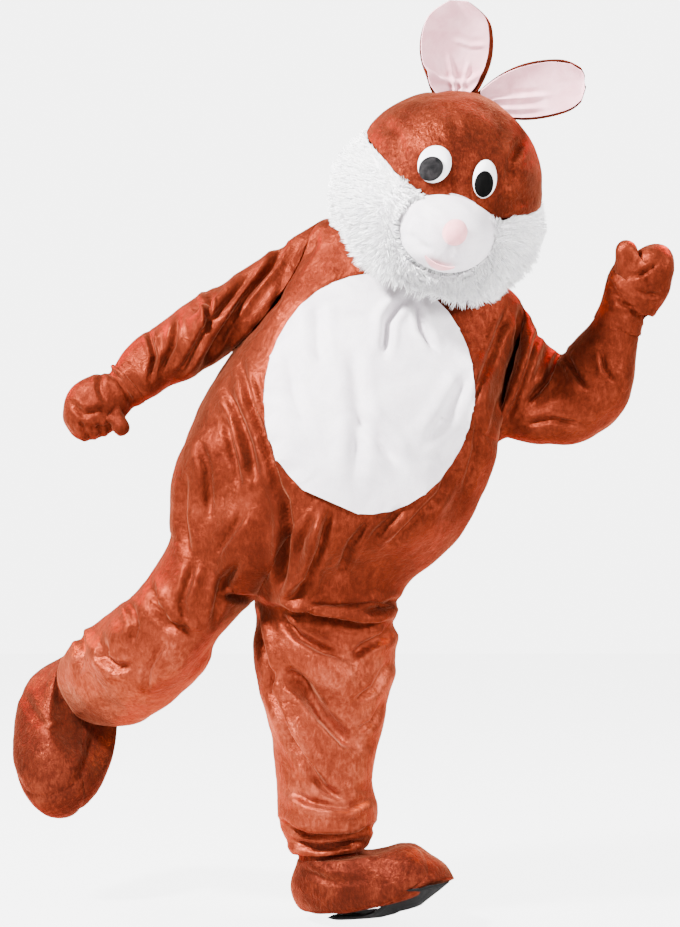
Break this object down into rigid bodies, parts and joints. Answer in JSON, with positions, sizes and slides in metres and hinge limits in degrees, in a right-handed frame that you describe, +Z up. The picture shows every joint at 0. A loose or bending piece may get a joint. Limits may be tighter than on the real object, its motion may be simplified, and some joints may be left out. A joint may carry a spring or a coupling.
{
  "type": "rabbit mascot costume",
  "caption": "Hollow plush rabbit costume in a worn striding pose: zipped jumpsuit, mitts, boot covers and a fur-ruffed head with ears, snout and mesh eyes.",
  "frame": {"origin": "middle of the wearer's shoulders at the base of the neck, where the wearer carries the suit", "axes": "+X to the wearer's left, +Y to the wearer's back, +Z up; the chest faces -Y and the torso leans 24 degrees towards +X going up"},
  "size_m": [1.3682, 0.74, 1.8694],
  "materials": {
    "brown_plush": "short brown velour plush",
    "white_plush": "short white plush",
    "white_fur": "long white pile",
    "pink_velour": "pale pink velour",
    "white_felt": "white felt",
    "black_mesh": "black see-through mesh",
    "black_sole": "matt black grip cloth",
    "zip_tape": "brown woven tape",
    "zip_metal": "aged metal"
  },
  "bodies": {
    "root": {"belly_patch": "white_plush", "body_back_left": "brown_plush", "body_back_right": "brown_plush", "body_front_left": "brown_plush", "body_front_right": "brown_plush", "boot_left_inner": "brown_plush", "boot_left_outer": "brown_plush", "boot_left_sole": "black_sole", "boot_left_toe": "brown_plush", "boot_right_inner": "brown_plush", "boot_right_outer": "brown_plush", "boot_right_sole": "black_sole", "boot_right_toe": "brown_plush", "ear_back_left": "brown_plush", "ear_back_right": "brown_plush", "ear_lining_left": "pink_velour", "ear_lining_right": "pink_velour", "eye_left": "white_felt", "eye_right": "white_felt", "head_back": "brown_plush", "head_front": "brown_plush", "mitt_left_back": "brown_plush", "mitt_left_palm": "brown_plush", "mitt_left_thumb": "brown_plush", "mitt_right_back": "brown_plush", "mitt_right_palm": "brown_plush", "mitt_right_thumb": "brown_plush", "mouth": "pink_velour", "nose": "pink_velour", "pupil_left": "black_mesh", "pupil_right": "black_mesh", "ruff_left": "white_fur", "ruff_right": "white_fur", "sleeve_left_back": "brown_plush", "sleeve_left_front": "brown_plush", "sleeve_right_back": "brown_plush", "sleeve_right_front": "brown_plush", "snout": "white_plush", "zip_slider": "zip_metal", "zip_tape_left": "zip_tape", "zip_tape_right": "zip_tape"},
    "zip_pull": {"zip_pull": "zip_metal"}
  },
  "joints": [
    {"name": "zip_pull_hinge", "type": "hinge", "parent": "root", "child": "zip_pull", "pos_m": [0.00242, 0.11807, 0.01392], "axis": [0.9121, 0, -0.4099], "range_deg": [0, 120]}
  ]
}
